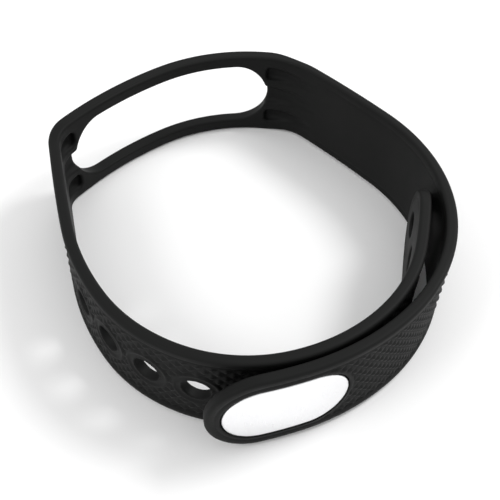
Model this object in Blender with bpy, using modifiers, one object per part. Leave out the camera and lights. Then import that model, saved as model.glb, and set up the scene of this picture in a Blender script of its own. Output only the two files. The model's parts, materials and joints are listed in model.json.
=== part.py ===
"""Fitness tracker band: a soft strap with a window for the tracker and a metal clasp with two posts.

The band is closed and stands on its edge. +Z runs across the strap, from one long edge to the other, and
the tracker window is at +Y. Seen from above, the clasp arm leaves the window towards +X and runs clockwise,
and the hole arm leaves it towards -X. Past the clasp the hole arm goes on inside the clasp arm as the tail.

The strap is one moulding, which bends everywhere. Here it is cut at its flex lines into stiff sections, so
that it can bend at upright hinges. Each section is drawn flat, as (along, out, up), and then wrapped onto
the strap's bent centreline: along runs from the hole arm's tip (negative) through the middle of the window
(zero) to the clasp arm's tip (positive), and out is the distance outwards from the centreline.
"""

import math

import bmesh
import bpy
from mathutils import Matrix, Vector

MM = 0.001

# Strap
ARM_WIDTH = 15.0 * MM
ARM_THICK = 1.7 * MM
CRADLE_WIDTH = 15.8 * MM
CRADLE_THICK = 2.2 * MM
WINDOW_LENGTH = 39.0 * MM
WINDOW_HEIGHT = 11.6 * MM
CRADLE_FADE = 6.0 * MM  # the cradle's extra width and thickness fade out over this length

# The strap's bent centreline, as (length in mm, turn in degrees) from the middle of the window
CLASP_ARM_BENDS = ((20, 42), (8, 37), (16, 5), (16, 31), (16, 33), (14, 26), (14, 21), (13.2, 12))
HOLE_ARM_BENDS = (
    (20, 19), (5, 49), (7, 1), (10, 2), (14, 20), (14, 33), (14, 36), (14, 29), (14, 31), (9.5, 6), (6, 4),
)
CLASP_ARM_TIP = sum(length for length, turn in CLASP_ARM_BENDS) * MM
HOLE_ARM_TIP = -sum(length for length, turn in HOLE_ARM_BENDS) * MM

# Size holes in the hole arm
HOLE_COUNT = 11
HOLE_PITCH = 7.2 * MM
FIRST_HOLE = -50.7 * MM
HOLE_RADIUS = 2.0 * MM

# Flex lines. Those of the hole arm lie midway between two holes, or clear of them
CLASP_ARM_FLEX = tuple(along * MM for along in (28, 44, 60, 76, 90))
HOLE_ARM_FLEX = (-25.0 * MM, -42.0 * MM) + tuple(FIRST_HOLE - (n + 0.5) * HOLE_PITCH for n in (1, 3, 5, 7))
GAP = 0.3 * MM  # between neighbouring pieces
KNUCKLE_RADIUS = ARM_THICK / 2
SOCKET_RADIUS = KNUCKLE_RADIUS + GAP
SOCKET_LIP = 1.0 * MM  # how far the socket's lips stay from the flex line

# Clasp
PLATE_MIDDLE = 106.4 * MM
PLATE_LENGTH = 17.2 * MM
PLATE_HEIGHT = 10.6 * MM
PLATE_THICK = 0.4 * MM
PLATE_EDGE = 0.15 * MM
PLATE_OUT = 0.5 * MM  # the plate's inner face, from the strap's centreline
POST_PITCH = 7.7 * MM
POST_RADIUS = 1.1 * MM
POST_HEAD_RADIUS = 1.45 * MM
POST_HEAD_LENGTH = 0.9 * MM
POST_CROWN_RADIUS = 0.5 * MM
POST_CHAMFER = 0.3 * MM  # where the shank widens into the head
POST_REACH = 4.2 * MM  # from the clasp arm's centreline inwards to the end of the post's head

CUT = 5.0 * MM  # cutters reach this far out of the strap's centreline
TRIM = 2.0 * MM  # left on a piece that is trimmed
WRAP_STEP = 2.0 * MM  # the flat pieces are divided this finely before they are wrapped
HOLE_SIDES = 20
TURNED_SIDES = 20

COLOURS = {
    "strap": ((0.012, 0.012, 0.013, 1), 0.55, 0.0),
    "clasp_metal": ((0.78, 0.78, 0.79, 1), 0.32, 1.0),
}


def arc(x, y, radius, first, last, steps):
    """Points on an arc about (x, y), from one angle in degrees to another."""
    angles = [math.radians(first + (last - first) * n / steps) for n in range(steps + 1)]
    return [(x + radius * math.cos(a), y + radius * math.sin(a)) for a in angles]


def centreline(along):
    """The strap's plan position and heading at a distance along it, before the plan is centred."""
    bends, way = (CLASP_ARM_BENDS, 1) if along >= 0 else (HOLE_ARM_BENDS, -1)
    x = y = heading = 0.0
    left = abs(along)
    for length, turn in bends:
        run = min(left, length * MM)
        bend = -way * math.radians(turn) * run / (length * MM)
        chord = run if abs(bend) < 1e-9 else run * math.sin(bend / 2) / (bend / 2)
        x += way * chord * math.cos(heading + bend / 2)
        y += way * chord * math.sin(heading + bend / 2)
        heading += bend
        left -= run
    return x, y, heading


def fade(value):
    """A smooth step from 0 to 1."""
    value = min(max(value, 0.0), 1.0)
    return value * value * (3 - 2 * value)


def cradle_share(along):
    """1 beside the window, 0 on the arms."""
    return fade((WINDOW_LENGTH / 2 + CRADLE_FADE - abs(along)) / CRADLE_FADE)


def strap_width(along):
    return ARM_WIDTH + (CRADLE_WIDTH - ARM_WIDTH) * cradle_share(along)


def strap_thickness(along):
    return ARM_THICK + (CRADLE_THICK - ARM_THICK) * cradle_share(along)


def uncentred(along, out):
    x, y, heading = centreline(along)
    return x - out * math.sin(heading), y + out * math.cos(heading)


def plan_middle():
    """The middle of the band's plan, which goes to the origin."""
    count = round((CLASP_ARM_TIP - HOLE_ARM_TIP) / WRAP_STEP)
    stations = [HOLE_ARM_TIP + (CLASP_ARM_TIP - HOLE_ARM_TIP) * n / count for n in range(count + 1)]
    outer = [uncentred(along, strap_thickness(along) / 2) for along in stations]
    xs, ys = zip(*outer)
    return (min(xs) + max(xs)) / 2, (min(ys) + max(ys)) / 2


MIDDLE_X, MIDDLE_Y = plan_middle()
MID_Z = CRADLE_WIDTH / 2


def on_strap(along, out=0.0, up=0.0):
    """A point of the flat strap, wrapped onto the bent one."""
    x, y = uncentred(along, out)
    return Vector((x - MIDDLE_X, y - MIDDLE_Y, MID_Z + up))


# Blender helpers

for old in list(bpy.data.objects):
    bpy.data.objects.remove(old, do_unlink=True)

band = bpy.data.collections.new("fitness_tracker_band")
cutters = bpy.data.collections.new("cutters")
for collection in (band, cutters):
    bpy.context.scene.collection.children.link(collection)


def material(name):
    found = bpy.data.materials.get(name)
    if found:
        return found
    colour, roughness, metallic = COLOURS[name]
    made = bpy.data.materials.new(name)
    made.use_nodes = True
    shader = made.node_tree.nodes["Principled BSDF"]
    shader.inputs["Base Color"].default_value = colour
    shader.inputs["Roughness"].default_value = roughness
    shader.inputs["Metallic"].default_value = metallic
    return made


def face_outwards(solid):
    """Turns a closed solid's faces so that they point out."""
    bmesh.ops.recalc_face_normals(solid, faces=solid.faces)
    if solid.calc_volume(signed=True) < 0:
        bmesh.ops.reverse_faces(solid, faces=solid.faces)


def extruded(name, outline, depth, collection):
    """A mesh object: a flat outline in its local XY, extruded to both sides along its local Z."""
    curve = bpy.data.curves.new(name, "CURVE")
    curve.dimensions = "2D"
    curve.fill_mode = "BOTH"
    curve.extrude = depth / 2
    spline = curve.splines.new("POLY")
    spline.points.add(len(outline) - 1)
    for point, (x, y) in zip(spline.points, outline):
        point.co = (x, y, 0, 1)
    spline.use_cyclic_u = True
    source = bpy.data.objects.new(name, curve)
    collection.objects.link(source)
    bpy.context.view_layer.update()
    mesh = bpy.data.meshes.new_from_object(source.evaluated_get(bpy.context.evaluated_depsgraph_get()))
    matrix = source.matrix_world.copy()
    bpy.data.objects.remove(source, do_unlink=True)
    bpy.data.curves.remove(curve)
    welded = bmesh.new()
    welded.from_mesh(mesh)
    bmesh.ops.remove_doubles(welded, verts=welded.verts, dist=0.001 * MM)
    face_outwards(welded)
    welded.to_mesh(mesh)
    welded.free()
    piece = bpy.data.objects.new(name, mesh)
    piece.matrix_world = matrix
    collection.objects.link(piece)
    return piece


def elevation(name, outline, inner, outer, collection):
    """A solid whose outline is seen from outside the strap, as (along, up), from one depth to another."""
    piece = extruded(name, outline, outer - inner, collection)
    turn = Matrix.Rotation(math.radians(90), 4, "X")
    piece.data.transform(Matrix.Translation((0, (inner + outer) / 2, 0)) @ turn)
    return piece


def boolean(piece, other, operation):
    """Cuts or trims a piece by another solid, which becomes a hidden cutter."""
    other.hide_render = True
    other.display_type = "WIRE"
    modifier = piece.modifiers.new(other.name, "BOOLEAN")
    modifier.operation = operation
    modifier.object = other
    modifier.solver = "EXACT"


def wrap(piece, along_from, along_to):
    """Applies the modifiers, divides the flat piece along the strap, and wraps it onto the centreline."""
    bpy.context.view_layer.update()
    mesh = bpy.data.meshes.new_from_object(piece.evaluated_get(bpy.context.evaluated_depsgraph_get()))
    piece.modifiers.clear()
    flat = bmesh.new()
    flat.from_mesh(mesh)
    count = math.ceil((along_to - along_from) / WRAP_STEP)
    for n in range(1, count):
        where = along_from + (along_to - along_from) * n / count
        every = flat.verts[:] + flat.edges[:] + flat.faces[:]
        bmesh.ops.bisect_plane(flat, geom=every, dist=0.01 * MM, plane_co=(where, 0, 0), plane_no=(1, 0, 0))
    bmesh.ops.remove_doubles(flat, verts=flat.verts, dist=0.01 * MM)
    bmesh.ops.dissolve_degenerate(flat, edges=flat.edges, dist=0.01 * MM)
    bmesh.ops.triangulate(flat, faces=flat.faces)
    for vert in flat.verts:
        vert.co = on_strap(*vert.co)
    face_outwards(flat)
    flat.to_mesh(mesh)
    flat.free()
    mesh.shade_smooth()
    mesh.set_sharp_from_angle(angle=math.radians(35))
    piece.data = mesh


def hang(piece, body, slot):
    """Gives a piece its material and puts it under its body's empty, whose place becomes its origin."""
    piece.data.materials.clear()
    piece.data.materials.append(material(slot))
    if body is None:
        return
    bpy.context.view_layer.update()
    piece.data.transform(body.matrix_world.inverted() @ piece.matrix_world)
    piece.matrix_world = Matrix.Identity(4)
    piece.parent = body


def flex_line(name, along, parent):
    """An empty on an upright hinge line of the strap."""
    empty = bpy.data.objects.new(name, None)
    empty.empty_display_size = 5 * MM
    band.objects.link(empty)
    empty.location = on_strap(along) - (parent.matrix_world.translation if parent else Vector())
    empty.parent = parent
    bpy.context.view_layer.update()
    return empty


# Strap sections


def knuckle(along, way):
    """The rounded end of a section at its flex line. way is +1 for the end that faces +along."""
    start = -90 if way > 0 else 90
    return arc(along, 0, KNUCKLE_RADIUS, start, start + 180, 8)


def socket(along, way):
    """The hollow end of a section in front of the next one's knuckle."""
    spread = math.degrees(math.acos(SOCKET_LIP / SOCKET_RADIUS))
    if way > 0:
        hollow = arc(along, 0, SOCKET_RADIUS, 180 + spread, 180 - spread, 4)
        lip = along - SOCKET_LIP
        return [(lip, -ARM_THICK / 2), *hollow, (lip, ARM_THICK / 2)]
    hollow = arc(along, 0, SOCKET_RADIUS, spread, -spread, 4)
    lip = along + SOCKET_LIP
    return [(lip, ARM_THICK / 2), *hollow, (lip, -ARM_THICK / 2)]


def tip(along, way):
    """A square end, left long enough to be trimmed round."""
    end = along + way * TRIM
    return [(end, -way * ARM_THICK / 2), (end, way * ARM_THICK / 2)]


def strap_section(name, low, high, low_end, high_end):
    """A flat stretch of strap between two places along it, with the end shapes that are given."""
    return extruded(name, [*high_end(high, 1), *low_end(low, -1)], ARM_WIDTH, band)


def end_section(name, flex, along, way):
    """The last section of an arm, trimmed to the strap's width and half-round end."""
    low, high = sorted((flex, along))
    high_end, low_end = (tip, knuckle) if way > 0 else (knuckle, tip)
    piece = extruded(name, [*high_end(high, 1), *low_end(low, -1)], ARM_WIDTH + 2 * TRIM, band)
    radius = ARM_WIDTH / 2
    start = 0 if way > 0 else 180
    end = arc(along - way * radius, 0, radius, start - 90, start + 90, 24)
    back = flex - way * TRIM
    outline = [*end, (back, way * radius), (back, -way * radius)]
    boolean(piece, elevation(f"{name}_trim", outline, -CUT, CUT, cutters), "INTERSECT")
    return piece


def size_holes(piece, low, high):
    """Cuts the size holes that lie in this stretch of the strap."""
    for n in range(HOLE_COUNT):
        along = FIRST_HOLE - n * HOLE_PITCH
        if low < along < high:
            circle = arc(along, 0, HOLE_RADIUS, 0, 360 * (1 - 1 / HOLE_SIDES), HOLE_SIDES - 1)
            boolean(piece, elevation(f"size_hole_{n + 1}", circle, -CUT, CUT, cutters), "DIFFERENCE")


def pill(middle, length, height, steps=10):
    """A rounded bar outline about (middle, 0)."""
    reach = (length - height) / 2
    right = arc(middle + reach, 0, height / 2, -90, 90, steps)
    left = arc(middle - reach, 0, height / 2, 90, 270, steps)
    return right + left


def tracker_cradle():
    """The wider, thicker frame round the tracker window, with a socket at each end."""
    low, high = HOLE_ARM_FLEX[0], CLASP_ARM_FLEX[0]
    count = 24
    stations = [low + SOCKET_LIP + (high - low - 2 * SOCKET_LIP) * n / count for n in range(1, count)]
    inner = [(along, -strap_thickness(along) / 2) for along in stations]
    outer = [(along, strap_thickness(along) / 2) for along in reversed(stations)]
    outline = [*inner, *socket(high, 1), *outer, *socket(low, -1)]
    piece = extruded("tracker_cradle", outline, CRADLE_WIDTH + TRIM, band)
    edge = [(along, strap_width(along) / 2) for along in [low - TRIM, *stations, high + TRIM]]
    below = [(along, -up) for along, up in edge]
    boolean(piece, elevation("cradle_edges", below + edge[::-1], -CUT, CUT, cutters), "INTERSECT")
    window = pill(0, WINDOW_LENGTH, WINDOW_HEIGHT)
    boolean(piece, elevation("tracker_window", window, -CUT, CUT, cutters), "DIFFERENCE")
    wrap(piece, low, high)
    hang(piece, None, "strap")


def hole_arm():
    """The arm with the size holes, as sections that hang on one another, with the free tail last."""
    body = None
    for n, flex in enumerate(HOLE_ARM_FLEX):
        last = n == len(HOLE_ARM_FLEX) - 1
        low = HOLE_ARM_TIP if last else HOLE_ARM_FLEX[n + 1]
        name = "tail_tip" if last else f"hole_arm_{n + 1}"
        piece = end_section(name, flex, low, -1) if last else strap_section(name, low, flex, socket, knuckle)
        size_holes(piece, low, flex)
        wrap(piece, low, flex)
        body = flex_line(f"{name}_flex", flex, body)
        hang(piece, body, "strap")


def post(name, along, body):
    """A turned post with a rounded head, through the clasp arm and a size hole of the arm inside it."""
    top = PLATE_OUT - GAP
    neck = -POST_REACH + POST_HEAD_LENGTH
    crown_middle = (POST_HEAD_RADIUS - POST_CROWN_RADIUS, POST_CROWN_RADIUS - POST_REACH)
    crown = arc(*crown_middle, POST_CROWN_RADIUS, 0, -90, 4)
    profile = [(0, top), (POST_RADIUS, top), (POST_RADIUS, neck), (POST_HEAD_RADIUS, neck - POST_CHAMFER)]
    profile += [*crown, (0, -POST_REACH)]
    mesh = bpy.data.meshes.new(name)
    mesh.from_pydata([(r, 0, z) for r, z in profile], [(n, n + 1) for n in range(len(profile) - 1)], [])
    piece = bpy.data.objects.new(name, mesh)
    band.objects.link(piece)
    screw = piece.modifiers.new("turn", "SCREW")
    screw.steps = screw.render_steps = TURNED_SIDES
    screw.use_merge_vertices = True
    screw.merge_threshold = 0.001 * MM
    screw.use_smooth_shade = True
    heading = centreline(along)[2]
    outwards = Matrix.Rotation(heading, 4, "Z") @ Matrix.Rotation(math.radians(-90), 4, "X")
    place = Matrix.Translation(on_strap(along)) @ outwards
    piece.data.materials.append(material("clasp_metal"))
    piece.parent = body
    piece.matrix_parent_inverse = body.matrix_world.inverted()
    piece.matrix_world = place


def clasp(end, body):
    """Sinks the clasp's metal plate into the end of the arm and sets its two posts through it."""
    roomy = pill(PLATE_MIDDLE, PLATE_LENGTH + 2 * GAP, PLATE_HEIGHT + 2 * GAP)
    seat = elevation("clasp_plate_seat", roomy, PLATE_OUT - GAP, CUT, cutters)
    boolean(end, seat, "DIFFERENCE")
    places = [PLATE_MIDDLE - POST_PITCH / 2, PLATE_MIDDLE + POST_PITCH / 2]
    for n, along in enumerate(places, 1):
        bore = arc(along, 0, POST_RADIUS + GAP, 0, 360 * (1 - 1 / HOLE_SIDES), HOLE_SIDES - 1)
        boolean(end, elevation(f"post_bore_{n}", bore, -CUT, CUT, cutters), "DIFFERENCE")
        post(f"clasp_post_{n}", along, body)
    shape = pill(PLATE_MIDDLE, PLATE_LENGTH, PLATE_HEIGHT)
    plate = elevation("clasp_plate", shape, PLATE_OUT, PLATE_OUT + PLATE_THICK, band)
    rounded = plate.modifiers.new("edge", "BEVEL")
    rounded.width = PLATE_EDGE
    rounded.segments = 2
    rounded.limit_method = "ANGLE"
    rounded.angle_limit = math.radians(50)
    wrap(plate, PLATE_MIDDLE - PLATE_LENGTH / 2, PLATE_MIDDLE + PLATE_LENGTH / 2)
    hang(plate, body, "clasp_metal")


def clasp_arm():
    """The arm that ends in the clasp, as sections that hang on one another."""
    body = None
    for n, flex in enumerate(CLASP_ARM_FLEX):
        last = n == len(CLASP_ARM_FLEX) - 1
        high = CLASP_ARM_TIP if last else CLASP_ARM_FLEX[n + 1]
        name = "clasp_end" if last else f"clasp_arm_{n + 1}"
        piece = end_section(name, flex, high, 1) if last else strap_section(name, flex, high, knuckle, socket)
        body = flex_line(f"{name}_flex", flex, body)
        if last:
            clasp(piece, body)
        wrap(piece, flex, high)
        hang(piece, body, "strap")


tracker_cradle()
hole_arm()
clasp_arm()
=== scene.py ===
"""The looks of the fitness tracker band: a black silicone strap with a diamond relief and a metal clasp.

The strap is described flat, in millimetres, as (along, out, up): along runs from the hole arm's tip
(negative) through the middle of the tracker window (zero) to the clasp arm's tip (positive), out is the
distance outwards from the centreline and up is the height above the strap's middle plane. A signed distance
gives its shape, which is meshed flat, cut into stretches, and wrapped onto the bent centreline. Each stretch
spans one hinge of the CAD frame.
"""

import json
import math

import bmesh
import bpy
import numpy as np
from mathutils import Matrix, Vector


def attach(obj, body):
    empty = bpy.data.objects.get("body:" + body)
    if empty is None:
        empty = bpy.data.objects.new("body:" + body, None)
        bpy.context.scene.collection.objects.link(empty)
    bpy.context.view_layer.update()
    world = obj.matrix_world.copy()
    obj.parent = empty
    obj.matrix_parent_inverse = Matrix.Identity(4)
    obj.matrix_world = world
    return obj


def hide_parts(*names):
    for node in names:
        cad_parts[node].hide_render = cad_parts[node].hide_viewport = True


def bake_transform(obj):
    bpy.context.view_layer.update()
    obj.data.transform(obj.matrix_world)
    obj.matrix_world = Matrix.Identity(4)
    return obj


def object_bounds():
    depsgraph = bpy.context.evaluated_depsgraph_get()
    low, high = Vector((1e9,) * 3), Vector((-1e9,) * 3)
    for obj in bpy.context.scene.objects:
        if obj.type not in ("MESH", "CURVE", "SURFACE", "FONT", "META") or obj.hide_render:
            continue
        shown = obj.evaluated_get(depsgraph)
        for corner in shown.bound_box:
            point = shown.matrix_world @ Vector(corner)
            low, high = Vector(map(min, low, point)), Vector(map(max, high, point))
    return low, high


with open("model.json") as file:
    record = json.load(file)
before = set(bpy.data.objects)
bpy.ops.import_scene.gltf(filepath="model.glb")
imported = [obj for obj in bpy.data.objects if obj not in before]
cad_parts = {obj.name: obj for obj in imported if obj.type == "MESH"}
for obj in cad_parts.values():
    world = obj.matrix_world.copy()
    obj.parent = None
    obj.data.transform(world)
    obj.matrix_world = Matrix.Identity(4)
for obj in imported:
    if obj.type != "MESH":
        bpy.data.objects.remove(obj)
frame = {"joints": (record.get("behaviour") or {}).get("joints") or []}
cad_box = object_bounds()

MM = 0.001

TINY = 0.01  # the step along which a signed distance's slope is measured

# Strap
ARM_WIDTH = 15.0
ARM_THICK = 1.7
CRADLE_WIDTH = 15.8
CRADLE_THICK = 2.2
CRADLE_FADE = 6.0  # the cradle's extra width and thickness fade out over this length
EDGE_RADIUS = 0.5
TIP_RADIUS = ARM_WIDTH / 2

# The bent centreline, as (length, turn in degrees) from the middle of the window
CLASP_ARM_BENDS = ((20, 42), (8, 37), (16, 5), (16, 31), (16, 33), (14, 26), (14, 21), (13.2, 12))
HOLE_ARM_BENDS = (
    (20, 19), (5, 49), (7, 1), (10, 2), (14, 20), (14, 33), (14, 36), (14, 29), (14, 31), (9.5, 6), (6, 4),
)
CLASP_ARM_TIP = sum(length for length, turn in CLASP_ARM_BENDS)
HOLE_ARM_TIP = -sum(length for length, turn in HOLE_ARM_BENDS)

# Tracker window, with three tapered pockets past each of its ends on the inner face
WINDOW_LENGTH = 39.0
WINDOW_HEIGHT = 11.6
WINDOW_EDGE = 0.35
POCKET_END = 27.5
POCKET_DEPTH = 1.35
POCKET_EDGE = 0.45
POCKET_CORNER = 0.9
POCKETS = ((0.0, 1.9, 18.0), (4.6, 1.35, 19.3), (-4.6, 1.35, 19.3))  # middle height, half height, start
POCKET_TAPER = 0.35  # how much lower a pocket is at its far end
POCKET_LEAN = 0.12  # how far the side pockets lean to the middle

# Size holes
HOLE_COUNT = 11
HOLE_PITCH = 7.2
FIRST_HOLE = -50.7
HOLE_RADIUS = 2.0
HOLE_EDGE = 0.3
DISH_RADIUS = 3.1
DISH_DEPTH = 0.16

# Relief of small pyramids on the outer faces, inside a smooth rim
RELIEF_PITCH = 1.83  # a pyramid's two diagonals
RELIEF_MIDDLE = 92.275  # a pyramid's peak lies here
RELIEF_DEPTH = 0.29
RELIEF_START = 29.5  # from the middle of the window
STEP = RELIEF_PITCH / 10  # the mesh's step
PANEL_HALF = 34 * STEP  # the relief panel's half height
RIM = ARM_WIDTH / 2 - PANEL_HALF
LINE_HALF = 1.6 * STEP
LINE_DEPTH = 0.16
INNER_LINE_DEPTH = 0.05

# Clasp
PLATE_MIDDLE = 106.4
PLATE_LENGTH = 17.2
PLATE_HEIGHT = 10.6
PLATE_THICK = 0.4
PLATE_OUT = 0.5
PLATE_EDGE = 0.15
PLATE_CROWN = 0.08
SEAT_GAP = 0.22
SEAT_FLOOR = 0.25
POST_PITCH = 7.7
POST_RADIUS = 1.1
POST_HEAD_RADIUS = 1.45
POST_HEAD_LENGTH = 0.9
POST_REACH = 4.2
POST_TOP = 0.2
POST_BEVEL = 0.1
POST_FLARE = ((0.0, 0.15), (0.06, 0.03))  # the shank's last points, as (wider, above the neck)
POST_SHOULDER = (0.08, 0.25)  # the head's first point, as (narrower, below the neck)
POST_CROWN_RADIUS = 0.5
POST_SIDES = 48

FIRST_CLASP_FLEX = 28.0  # where the clasp arm's first hinge lies

# Stretches of the strap: name, from, to, the hinge that each spans, its two bodies and its CAD nodes
STRETCHES = (
    ("strap_tail", HOLE_ARM_TIP, -97.5, -104.7, ("tail", "hole_arm_e"), ("tail_tip", "hole_arm_5")),
    ("strap_hole_arm_5", -97.5, -83.1, -90.3, ("hole_arm_e", "hole_arm_d"), ("hole_arm_5", "hole_arm_4")),
    ("strap_hole_arm_4", -83.1, -68.7, -75.9, ("hole_arm_d", "hole_arm_c"), ("hole_arm_4", "hole_arm_3")),
    ("strap_hole_arm_3", -68.7, -46.5, -61.5, ("hole_arm_c", "hole_arm_b"), ("hole_arm_3", "hole_arm_2")),
    ("strap_hole_arm_2", -46.5, -33.5, -42.0, ("hole_arm_b", "hole_arm_a"), ("hole_arm_2", "hole_arm_1")),
    ("strap_hole_arm_1", -33.5, 0.0, -25.0, ("hole_arm_a", "cradle"), ("hole_arm_1", "tracker_cradle")),
    (
        "strap_clasp_arm_1", 0.0, 36.0, FIRST_CLASP_FLEX,
        ("cradle", "clasp_arm_a"), ("tracker_cradle", "clasp_arm_1"),
    ),
    ("strap_clasp_arm_2", 36.0, 52.0, 44.0, ("clasp_arm_a", "clasp_arm_b"), ("clasp_arm_1", "clasp_arm_2")),
    ("strap_clasp_arm_3", 52.0, 68.0, 60.0, ("clasp_arm_b", "clasp_arm_c"), ("clasp_arm_2", "clasp_arm_3")),
    ("strap_clasp_arm_4", 68.0, 83.0, 76.0, ("clasp_arm_c", "clasp_arm_d"), ("clasp_arm_3", "clasp_arm_4")),
    ("strap_clasp_end", 83.0, CLASP_ARM_TIP, 90.0, ("clasp_arm_d", "clasp"), ("clasp_arm_4", "clasp_end")),
)
BEND_HALF = 7.0  # a reach to each side of a stretch's hinge, or to its nearer end

# Camera
LOOK_AT = (-1.12, 0.18, -0.64)
CAMERA_AZIMUTH = -36.37
CAMERA_ELEVATION = 49.58
CAMERA_DISTANCE = 129.41
CAMERA_ROLL = 0.0354  # radians
CAMERA_LENS = 57.35
CAMERA_SHIFT = (0.0201, 0.0166)

# Lights: name, azimuth, elevation, distance and diameter in metres, and power in watts
AREA_LIGHTS = (("key", 80, 50, 0.6, 0.2, 1.5), ("fill", -95, 45, 0.7, 0.25, 0.9))
WORLD_STRENGTH = 0.82


# Shape helpers


def fade(value):
    """A smooth step from 0 to 1."""
    value = np.clip(value, 0.0, 1.0)
    return value * value * (3 - 2 * value)


def both(first, second, radius):
    """Inside both shapes, with a rounded edge where their surfaces meet."""
    corner = np.hypot(np.maximum(first + radius, 0), np.maximum(second + radius, 0))
    return corner + np.minimum(np.maximum(first, second), -radius)


def pill(along, up, middle, length, height):
    """Distance to a rounded bar outline about (middle, 0)."""
    return np.hypot(np.maximum(abs(along - middle) - (length - height) / 2, 0), up) - height / 2


def cradle_share(along):
    """1 beside the window, 0 on the arms."""
    return fade((WINDOW_LENGTH / 2 + CRADLE_FADE - abs(along)) / CRADLE_FADE)


def half_width(along):
    return (ARM_WIDTH + (CRADLE_WIDTH - ARM_WIDTH) * cradle_share(along)) / 2


def half_thickness(along):
    return (ARM_THICK + (CRADLE_THICK - ARM_THICK) * cradle_share(along)) / 2


def outline(along, up):
    """Distance to the strap's outline, with its half-round tips."""
    past = np.maximum(along - (CLASP_ARM_TIP - TIP_RADIUS), HOLE_ARM_TIP + TIP_RADIUS - along)
    return np.hypot(np.maximum(past, 0), up) - half_width(along)


def hole_radius(along, up):
    """Distance from the middle of the nearest size hole."""
    number = np.clip(np.round((FIRST_HOLE - along) / HOLE_PITCH), 0, HOLE_COUNT - 1)
    return np.hypot(along - (FIRST_HOLE - number * HOLE_PITCH), up)


def pocket(along, out, up, middle, half, start):
    """One tapered pocket in the inner face, deepest beside the window."""
    run = (abs(along) - start) / (POCKET_END - start)
    floor = POCKET_DEPTH * (1 - run) - half_thickness(along)
    share = np.clip(run, 0, 1)
    sides = abs(up - middle * (1 - POCKET_LEAN * share)) - half * (1 - POCKET_TAPER * share)
    walls = both(sides, start - abs(along), POCKET_CORNER)
    return both(walls, out - floor, POCKET_CORNER)


def strap(along, out, up):
    """Signed distance to the flat strap."""
    shape = both(outline(along, up), abs(out) - half_thickness(along), EDGE_RADIUS)
    shape = both(shape, -pill(along, up, 0, WINDOW_LENGTH, WINDOW_HEIGHT), WINDOW_EDGE)
    for middle, half, start in POCKETS:
        shape = both(shape, -pocket(along, out, up, middle, half, start), POCKET_EDGE)
    shape = both(shape, HOLE_RADIUS - hole_radius(along, up), HOLE_EDGE)
    seat_outline = pill(along, up, PLATE_MIDDLE, PLATE_LENGTH + 2 * SEAT_GAP, PLATE_HEIGHT + 2 * SEAT_GAP)
    shape = np.maximum(shape, -np.maximum(seat_outline, SEAT_FLOOR - out))
    for side in (-1, 1):
        post = np.hypot(along - PLATE_MIDDLE - side * POST_PITCH / 2, up) - POST_RADIUS - SEAT_GAP
        shape = np.maximum(shape, -post)
    return shape


def plate(along, out, up):
    """Signed distance to the flat clasp plate, whose outer face is slightly crowned."""
    face = PLATE_OUT + PLATE_THICK - PLATE_CROWN * (up / (PLATE_HEIGHT / 2)) ** 2
    slab = np.maximum(out - face, PLATE_OUT - out)
    return both(pill(along, up, PLATE_MIDDLE, PLATE_LENGTH, PLATE_HEIGHT), slab, PLATE_EDGE)


def relief(along, up):
    """How far the outer face is moved out by the pyramids, the panel's border line and the hole rings."""
    across = (along - RELIEF_MIDDLE) / RELIEF_PITCH
    first, second = across + up / RELIEF_PITCH, across - up / RELIEF_PITCH
    ridge = 2 * np.maximum(abs(first - np.round(first)), abs(second - np.round(second)))
    panel = np.maximum(outline(along, up) + RIM, RELIEF_START - abs(along))
    ring = hole_radius(along, up) - DISH_RADIUS
    plate_rim = SEAT_GAP + 2 * STEP - pill(along, up, PLATE_MIDDLE, PLATE_LENGTH, PLATE_HEIGHT)
    inside = fade(-np.maximum(np.maximum(panel, -ring), plate_rim) / STEP - 1)
    line = np.clip(1 - abs(panel) / LINE_HALF, 0, 1)
    return -RELIEF_DEPTH * inside * ridge - LINE_DEPTH * line - DISH_DEPTH * fade(-ring / (2 * STEP))


def inner_line(along, up):
    """How deep the faint border line in the inner face is."""
    line = np.clip(1 - abs(outline(along, up) + RIM) / LINE_HALF, 0, 1)
    return INNER_LINE_DEPTH * line * fade((abs(along) - POCKET_END) / CRADLE_FADE)


# Meshing


def surface_net(distance, lows, highs):
    """A closed quad mesh of a signed distance below zero: one point in each grid cell that it crosses."""
    axes = [np.arange(low, high + STEP, STEP) for low, high in zip(lows, highs)]
    grid = distance(*np.meshgrid(*axes, indexing="ij", sparse=True))
    cells = tuple(n - 1 for n in grid.shape)
    total, count = np.zeros((*cells, 3), np.float32), np.zeros(cells, np.int16)
    crossings = []
    for axis in range(3):
        before = np.moveaxis(grid, axis, 0)[:-1]
        after = np.moveaxis(grid, axis, 0)[1:]
        found = np.argwhere((before < 0) != (after < 0))
        start, end = before[tuple(found.T)], after[tuple(found.T)]
        share = start / (start - end)
        others = [a for a in range(3) if a != axis]
        index = np.empty_like(found)
        index[:, axis] = found[:, 0]
        index[:, others[0]], index[:, others[1]] = found[:, 1], found[:, 2]
        point = np.stack([axes[a][index[:, a]] for a in range(3)], 1)
        point[:, axis] += share * STEP
        ring = []
        for shift in ((1, 1), (0, 1), (0, 0), (1, 0)):
            cell = index.copy()
            cell[:, others[0]] -= shift[0]
            cell[:, others[1]] -= shift[1]
            np.add.at(total, tuple(cell.T), point)
            np.add.at(count, tuple(cell.T), 1)
            ring.append(np.ravel_multi_index(tuple(cell.T), cells))
        faces = np.stack(ring, 1)
        flip = (start < 0) == (axis == 1)
        faces[flip] = faces[flip][:, ::-1]
        crossings.append(faces)
    used = np.flatnonzero(count.ravel())
    number = np.zeros(count.size, np.int64)
    number[used] = np.arange(len(used))
    points = total.reshape(-1, 3)[used] / count.ravel()[used][:, None]
    return points.astype(float), number[np.concatenate(crossings)]


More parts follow.
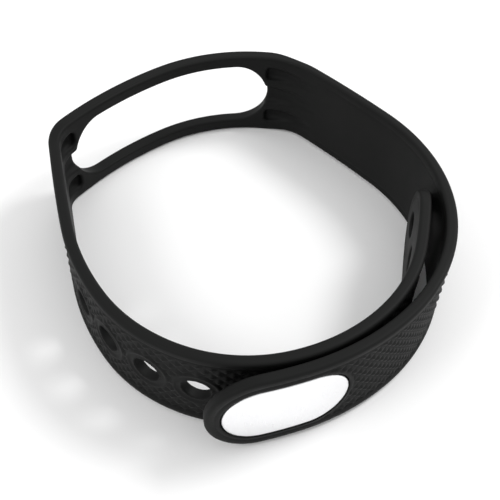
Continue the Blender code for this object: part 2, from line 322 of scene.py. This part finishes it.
def settle(points, distance):
    """Moves the points onto the surface along its slope."""
    for _ in range(3):
        here = distance(*points.T)
        slope = np.empty_like(points)
        for axis in range(3):
            moved = points.copy()
            moved[:, axis] += TINY
            slope[:, axis] = (distance(*moved.T) - here) / TINY
        steep = np.maximum((slope ** 2).sum(1), 0.25)
        points -= np.clip(here / steep, -STEP, STEP)[:, None] * slope
    return points


def centreline(along):
    """The strap's plan position and heading at distances along it."""
    x, y, heading = (np.zeros_like(along) for _ in range(3))
    for bends, way in ((CLASP_ARM_BENDS, 1), (HOLE_ARM_BENDS, -1)):
        left = np.maximum(way * along, 0)
        for length, turn in bends:
            run = np.minimum(left, length)
            bend = -way * math.radians(turn) * run / length
            chord = run * np.sinc(bend / (2 * math.pi))
            x += way * chord * np.cos(heading + bend / 2)
            y += way * chord * np.sin(heading + bend / 2)
            heading += bend
            left -= run
    return x, y, heading


def plan_offset():
    """Where the middle of the window lies in the frame, from the first hinge of the clasp arm."""
    hinge = next(joint for joint in frame["joints"] if joint["child"] == "clasp_arm_a")
    x, y, _ = centreline(np.array([FIRST_CLASP_FLEX]))
    return hinge["pos_m"][0] / MM - x[0], hinge["pos_m"][1] / MM - y[0]


OFFSET_X, OFFSET_Y = plan_offset()
MID_Z = (cad_box[0].z + cad_box[1].z) / 2 / MM


def wrapped(points):
    """Flat points in millimetres, wrapped onto the bent centreline, in metres."""
    along, out, up = points.T
    x, y, heading = centreline(along)
    placed = (x - out * np.sin(heading) + OFFSET_X, y + out * np.cos(heading) + OFFSET_Y, up + MID_Z)
    return np.stack(placed, 1) * MM


def on_strap(along, out=0.0, up=0.0):
    return Vector(wrapped(np.array([[along, out, up]], float))[0])


def mesh_object(name, points, faces):
    mesh = bpy.data.meshes.new(name)
    mesh.vertices.add(len(points))
    mesh.vertices.foreach_set("co", np.asarray(points, np.float32).ravel())
    mesh.loops.add(faces.size)
    mesh.loops.foreach_set("vertex_index", faces.astype(np.int32).ravel())
    mesh.polygons.add(len(faces))
    mesh.polygons.foreach_set("loop_start", np.arange(0, faces.size, faces.shape[1], dtype=np.int32))
    mesh.update(calc_edges=True)
    piece = bpy.data.objects.new(name, mesh)
    bpy.context.scene.collection.objects.link(piece)
    return piece


def cut_out(piece, low, high):
    """Keeps the flat mesh between two places along the strap, with a flat sharp-edged cap at each cut."""
    flat = bmesh.new()
    flat.from_mesh(piece.data)
    for where, way in ((low, -1), (high, 1)):
        if where in (HOLE_ARM_TIP, CLASP_ARM_TIP):
            continue
        every = flat.verts[:] + flat.edges[:] + flat.faces[:]
        cut = bmesh.ops.bisect_plane(
            flat, geom=every, dist=1e-5, plane_co=(where, 0, 0), plane_no=(way, 0, 0), clear_outer=True
        )
        edges = [item for item in cut["geom_cut"] if isinstance(item, bmesh.types.BMEdge)]
        bmesh.ops.holes_fill(flat, edges=edges, sides=0)
        for edge in edges:
            edge.smooth = False
    flat.to_mesh(piece.data)
    flat.free()


def wrap(piece):
    """Wraps a flat mesh onto the centreline."""
    mesh = piece.data
    flat = np.empty(len(mesh.vertices) * 3, np.float32)
    mesh.vertices.foreach_get("co", flat)
    points = wrapped(flat.reshape(-1, 3).astype(float))
    mesh.vertices.foreach_set("co", points.astype(np.float32).ravel())
    mesh.shade_smooth()
    mesh.update()


# Materials


def new_material(name):
    made = bpy.data.materials.new(name)
    made.use_nodes = True
    return made, made.node_tree.nodes, made.node_tree.links, made.node_tree.nodes["Principled BSDF"]


def noise(nodes, links, position, scale, detail, stretch=(1, 1, 1)):
    """A noise texture over the object, in units of 1/scale metres."""
    mapping = nodes.new("ShaderNodeMapping")
    mapping.inputs["Scale"].default_value = stretch
    links.new(position, mapping.inputs["Vector"])
    texture = nodes.new("ShaderNodeTexNoise")
    texture.inputs["Scale"].default_value = scale
    texture.inputs["Detail"].default_value = detail
    links.new(mapping.outputs["Vector"], texture.inputs["Vector"])
    return texture.outputs["Fac"]


def ramp(nodes, links, value, low, high, from_low=0.3, from_high=0.7):
    """A value spread to another range."""
    spread = nodes.new("ShaderNodeMapRange")
    spread.inputs["From Min"].default_value = from_low
    spread.inputs["From Max"].default_value = from_high
    spread.inputs["To Min"].default_value = low
    spread.inputs["To Max"].default_value = high
    links.new(value, spread.inputs["Value"])
    return spread.outputs["Result"]


def mixed(nodes, links, share, first, second):
    """A colour between two."""
    mix = nodes.new("ShaderNodeMix")
    mix.data_type = "RGBA"
    mix.inputs["A"].default_value = first
    mix.inputs["B"].default_value = second
    links.new(share, mix.inputs["Factor"])
    return mix.outputs["Result"]


def bump(nodes, links, height, strength, distance, below=None):
    made = nodes.new("ShaderNodeBump")
    made.inputs["Strength"].default_value = strength
    made.inputs["Distance"].default_value = distance
    links.new(height, made.inputs["Height"])
    if below:
        links.new(below, made.inputs["Normal"])
    return made.outputs["Normal"]


def silicone():
    """Matte black silicone: a fine moulded skin, and a slightly uneven colour and gloss."""
    made, nodes, links, shader = new_material("black_silicone")
    position = nodes.new("ShaderNodeTexCoord").outputs["Object"]
    cloud = noise(nodes, links, position, 160, 4)
    grain = noise(nodes, links, position, 9000, 3)
    skin = noise(nodes, links, position, 2600, 5)
    links.new(mixed(nodes, links, cloud, (0.0034, 0.0036, 0.0034, 1), (0.0066, 0.0069, 0.0066, 1)),
              shader.inputs["Base Color"])
    links.new(ramp(nodes, links, cloud, 0.56, 0.66), shader.inputs["Roughness"])
    fine = bump(nodes, links, grain, 0.12, 0.00002)
    links.new(bump(nodes, links, skin, 0.10, 0.00005, fine), shader.inputs["Normal"])
    shader.inputs["Specular IOR Level"].default_value = 0.16
    return made


def satin_metal():
    """Satin aluminium: a fine upright brushed grain, with uneven colour and gloss."""
    made, nodes, links, shader = new_material("satin_metal")
    position = nodes.new("ShaderNodeTexCoord").outputs["Object"]
    cloud = noise(nodes, links, position, 220, 3)
    brushed = noise(nodes, links, position, 9000, 3, (1, 1, 0.06))
    links.new(mixed(nodes, links, cloud, (0.90, 0.90, 0.91, 1), (0.96, 0.96, 0.97, 1)),
              shader.inputs["Base Color"])
    links.new(ramp(nodes, links, brushed, 0.26, 0.38), shader.inputs["Roughness"])
    links.new(bump(nodes, links, brushed, 0.05, 0.00001), shader.inputs["Normal"])
    shader.inputs["Metallic"].default_value = 1.0
    return made


def floor_material():
    made, _, _, shader = new_material("floor")
    shader.inputs["Base Color"].default_value = (0.96, 0.96, 0.96, 1)
    shader.inputs["Roughness"].default_value = 0.9
    shader.inputs["Specular IOR Level"].default_value = 0.1
    return made


# Pieces


def strap_mesh():
    """The whole flat strap: its shape from the signed distance, then the relief on its two faces."""
    reach = CRADLE_THICK / 2 + 2 * STEP
    start = RELIEF_MIDDLE - (round((RELIEF_MIDDLE - HOLE_ARM_TIP) / STEP) + 2.5) * STEP
    top = (round(CRADLE_WIDTH / 2 / STEP) + 2.5) * STEP
    lows = (start, -reach, -top)
    highs = (CLASP_ARM_TIP + 2 * STEP, reach, top)
    points, faces = surface_net(strap, lows, highs)
    points = settle(points, strap)
    along, out, up = points.T
    level = half_thickness(along)
    outer = fade((out - level) / (0.2 * STEP) + 1)
    inner = fade((-out - level) / (0.2 * STEP) + 1)
    points[:, 1] += outer * relief(along, up) + inner * inner_line(along, up)
    return points, faces


def strap_stretches(material):
    points, faces = strap_mesh()
    middles = points[faces[:, 0], 0]
    for name, low, high, hinge, bodies, nodes in STRETCHES:
        near = faces[(middles > low - 3 * STEP) & (middles < high + 3 * STEP)]
        used, numbered = np.unique(near, return_inverse=True)
        piece = mesh_object(name, points[used], numbered.reshape(near.shape))
        cut_out(piece, low, high)
        wrap(piece)
        piece.data.materials.append(material)
        half = min(BEND_HALF, hinge - low, high - hinge)
        on_strap(hinge - half)
        on_strap(hinge + half)
        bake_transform(piece)
        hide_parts(*nodes)


def clasp_face(material):
    """The clasp's metal plate, sunk into the end of the clasp arm."""
    along, up, out = PLATE_LENGTH / 2, PLATE_HEIGHT / 2, PLATE_OUT + PLATE_THICK
    lows = (PLATE_MIDDLE - along - 2.5 * STEP, PLATE_OUT - 2.5 * STEP, -up - 2.5 * STEP)
    highs = (PLATE_MIDDLE + along + 2 * STEP, out + 2 * STEP, up + 2 * STEP)
    points, faces = surface_net(plate, lows, highs)
    piece = mesh_object("clasp_face", settle(points, plate), faces)
    wrap(piece)
    piece.data.materials.append(material)
    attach(piece, "clasp")
    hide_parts("clasp_plate")


def post(name, along, node, material):
    """A turned post with a rounded head, on the clasp's inner side."""
    neck = POST_HEAD_LENGTH - POST_REACH
    quarter = [math.radians(-angle) for angle in range(0, 91, 15)]
    profile = [(0, POST_TOP), (POST_RADIUS - POST_BEVEL, POST_TOP), (POST_RADIUS, POST_TOP - POST_BEVEL)]
    profile += [(POST_RADIUS + wider, neck + above) for wider, above in POST_FLARE]
    profile += [(POST_HEAD_RADIUS - POST_SHOULDER[0], neck - POST_SHOULDER[1])]
    x, z = POST_HEAD_RADIUS - POST_CROWN_RADIUS, POST_CROWN_RADIUS - POST_REACH
    profile += [(x + POST_CROWN_RADIUS * math.cos(a), z + POST_CROWN_RADIUS * math.sin(a)) for a in quarter]
    profile += [(0.5 * x, -POST_REACH), (0, -POST_REACH)]
    turned = bmesh.new()
    corners = [turned.verts.new((radius, 0, height)) for radius, height in profile]
    edges = [turned.edges.new(pair) for pair in zip(corners, corners[1:])]
    bmesh.ops.spin(
        turned, geom=corners + edges, cent=(0, 0, 0), axis=(0, 0, 1), angle=math.tau, steps=POST_SIDES
    )
    bmesh.ops.remove_doubles(turned, verts=turned.verts, dist=0.001)
    bmesh.ops.recalc_face_normals(turned, faces=turned.faces)
    mesh = bpy.data.meshes.new(name)
    turned.to_mesh(mesh)
    turned.free()
    heading = centreline(np.array([along]))[2][0]
    outwards = Matrix.Rotation(heading, 4, "Z") @ Matrix.Rotation(math.radians(-90), 4, "X")
    mesh.transform(Matrix.Translation(on_strap(along)) @ outwards @ Matrix.Scale(MM, 4))
    mesh.shade_smooth()
    mesh.materials.append(material)
    piece = bpy.data.objects.new(name, mesh)
    bpy.context.scene.collection.objects.link(piece)
    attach(piece, "clasp")
    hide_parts(node)


# Camera, floor and lights


def look_from(azimuth, elevation):
    """The unit vector from the object back to the camera."""
    a, e = math.radians(azimuth), math.radians(elevation)
    return Vector((math.sin(a) * math.cos(e), -math.cos(a) * math.cos(e), math.sin(e)))


def camera():
    made = bpy.data.cameras.new("camera")
    made.lens = CAMERA_LENS
    made.sensor_width = 36
    made.shift_x, made.shift_y = CAMERA_SHIFT
    made.clip_start = 0.005
    made.clip_end = 10
    holder = bpy.data.objects.new("camera", made)
    bpy.context.scene.collection.objects.link(holder)
    back = look_from(CAMERA_AZIMUTH, CAMERA_ELEVATION)
    holder.location = Vector(LOOK_AT) * MM + back * CAMERA_DISTANCE * MM
    turn = (-back).to_track_quat("-Z", "Y").to_matrix().to_4x4()
    holder.rotation_euler = (turn @ Matrix.Rotation(CAMERA_ROLL, 4, "Z")).to_euler()
    bpy.context.scene.camera = holder


def floor():
    bpy.ops.mesh.primitive_plane_add(size=4, location=(0, 0, cad_box[0].z - 0.0001))
    ground = bpy.context.object
    ground.name = "floor"
    ground.data.materials.append(floor_material())


def area_light(name, azimuth, elevation, distance, size, power):
    made = bpy.data.lights.new(name, "AREA")
    made.shape = "DISK"
    made.size = size
    made.energy = power
    holder = bpy.data.objects.new(name, made)
    bpy.context.scene.collection.objects.link(holder)
    back = look_from(azimuth, elevation)
    holder.location = back * distance
    holder.rotation_euler = (-back).to_track_quat("-Z", "Y").to_euler()


def lights():
    world = bpy.data.worlds.new("studio")
    world.use_nodes = True
    background = world.node_tree.nodes["Background"]
    background.inputs["Color"].default_value = (1.0, 1.0, 1.0, 1)
    background.inputs["Strength"].default_value = WORLD_STRENGTH
    bpy.context.scene.world = world
    bpy.context.scene.view_settings.view_transform = "Standard"
    for light in AREA_LIGHTS:
        area_light(*light)


camera()
strap_stretches(silicone())
metal = satin_metal()
clasp_face(metal)
for n, side in enumerate((-1, 1), 1):
    post(f"clasp_peg_{n}", PLATE_MIDDLE + side * POST_PITCH / 2, f"clasp_post_{n}", metal)
floor()
lights()
